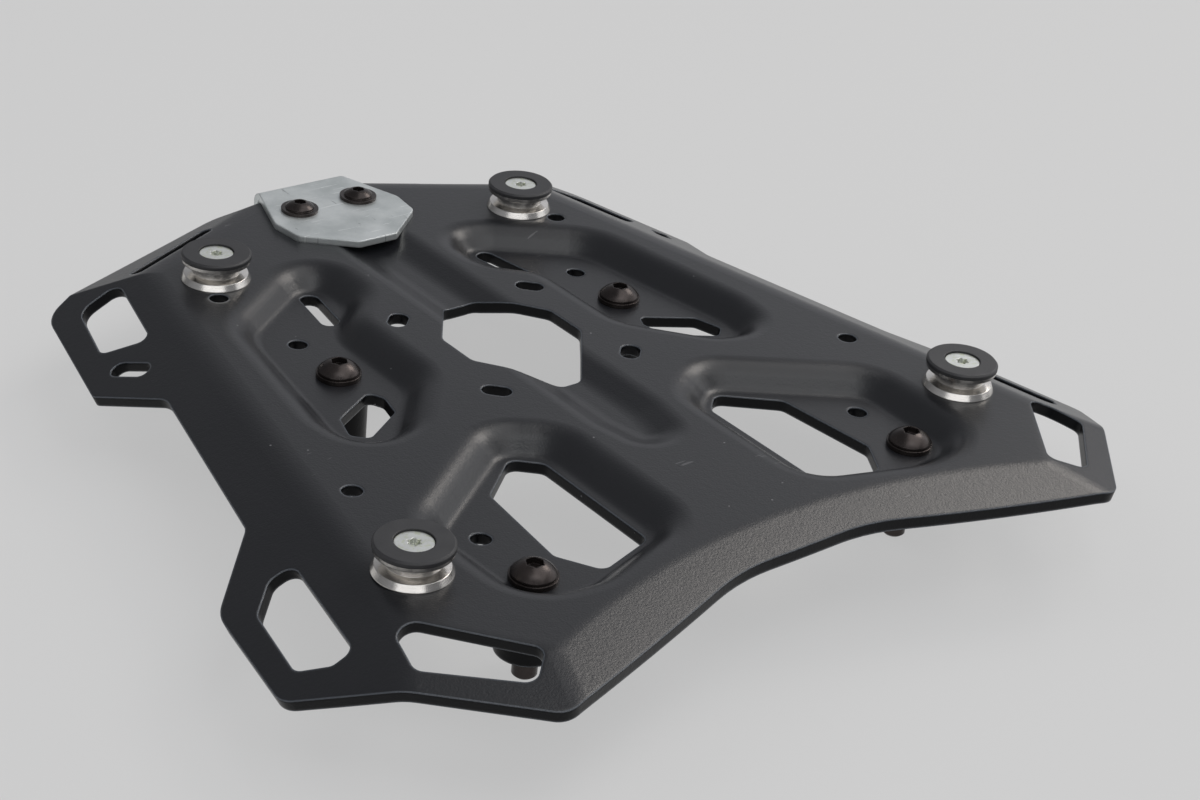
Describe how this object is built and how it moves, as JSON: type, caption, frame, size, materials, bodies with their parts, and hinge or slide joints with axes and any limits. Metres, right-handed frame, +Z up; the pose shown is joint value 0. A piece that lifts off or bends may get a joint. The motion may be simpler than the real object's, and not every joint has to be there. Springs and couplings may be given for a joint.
{
  "type": "motorcycle top case rack",
  "caption": "Pressed plate rack with drooping slotted wings, grooved spools and a latch plate that catch a top case, on bolts with spacers.",
  "frame": {"origin": "centre of the bounding box on the level of the mounting bolts' ends, on the rack's mirror plane", "axes": "+X to the rider's right, +Y towards the front of the motorcycle, +Z up"},
  "size_m": [0.3248, 0.3078, 0.0507],
  "materials": {
    "black_powder_coat": "satin, finely grained powder coat",
    "turned_steel": "bright turned",
    "black_cap": "matte",
    "bright_screw": "bright zinc",
    "black_screw": "black oxide, slightly glossy",
    "black_spacer": "black anodised",
    "zinc_plate": "satin zinc plating"
  },
  "bodies": {
    "root": {"rack_plate": "black_powder_coat", "latch_plate": "zinc_plate", "spool_front_right": "turned_steel", "spool_cap_front_right": "black_cap", "spool_screw_front_right": "bright_screw", "spool_nut_front_right": "bright_screw", "mount_bolt_front_right": "black_screw", "mount_washer_front_right": "black_screw", "mount_spacer_front_right": "black_spacer", "spool_front_left": "turned_steel", "spool_cap_front_left": "black_cap", "spool_screw_front_left": "bright_screw", "spool_nut_front_left": "bright_screw", "mount_bolt_front_left": "black_screw", "mount_washer_front_left": "black_screw", "mount_spacer_front_left": "black_spacer", "spool_rear_right": "turned_steel", "spool_cap_rear_right": "black_cap", "spool_screw_rear_right": "bright_screw", "spool_nut_rear_right": "bright_screw", "mount_bolt_rear_right": "black_screw", "mount_washer_rear_right": "black_screw", "mount_spacer_rear_right": "black_spacer", "spool_rear_left": "turned_steel", "spool_cap_rear_left": "black_cap", "spool_screw_rear_left": "bright_screw", "spool_nut_rear_left": "bright_screw", "mount_bolt_rear_left": "black_screw", "mount_washer_rear_left": "black_screw", "mount_spacer_rear_left": "black_spacer", "latch_screw_right": "black_screw", "latch_nut_right": "bright_screw", "latch_screw_left": "black_screw", "latch_nut_left": "bright_screw"}
  },
  "joints": []
}
